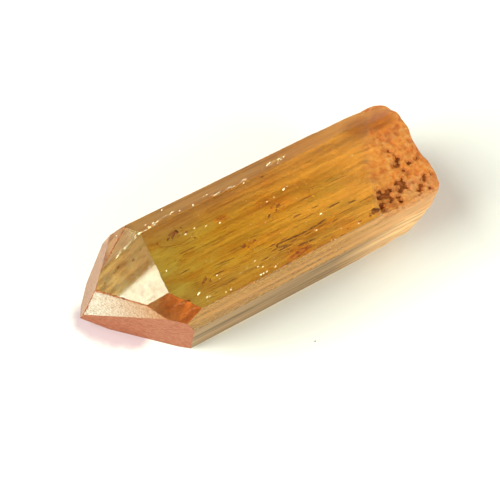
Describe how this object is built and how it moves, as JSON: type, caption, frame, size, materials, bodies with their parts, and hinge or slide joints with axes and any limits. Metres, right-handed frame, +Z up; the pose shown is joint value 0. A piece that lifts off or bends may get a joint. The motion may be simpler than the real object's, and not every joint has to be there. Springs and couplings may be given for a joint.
{
  "type": "imperial topaz crystal",
  "caption": "Single golden imperial topaz crystal lying on a prism face: a striated prism with a stepped pyramid tip at one end and a broken, pitted base at the other.",
  "frame": {"origin": "under the middle of the crystal's box, on the plane that it rests on", "axes": "+X along the crystal from its pyramid tip to its broken base, -Y the side with the low pyramid face, +Z up"},
  "size_m": [0.0262, 0.0106, 0.0084],
  "materials": {
    "topaz": "clear golden orange with natural growth lines, rough and iron stained at the broken base"
  },
  "bodies": {
    "root": {"topaz_crystal": "topaz"}
  },
  "joints": []
}
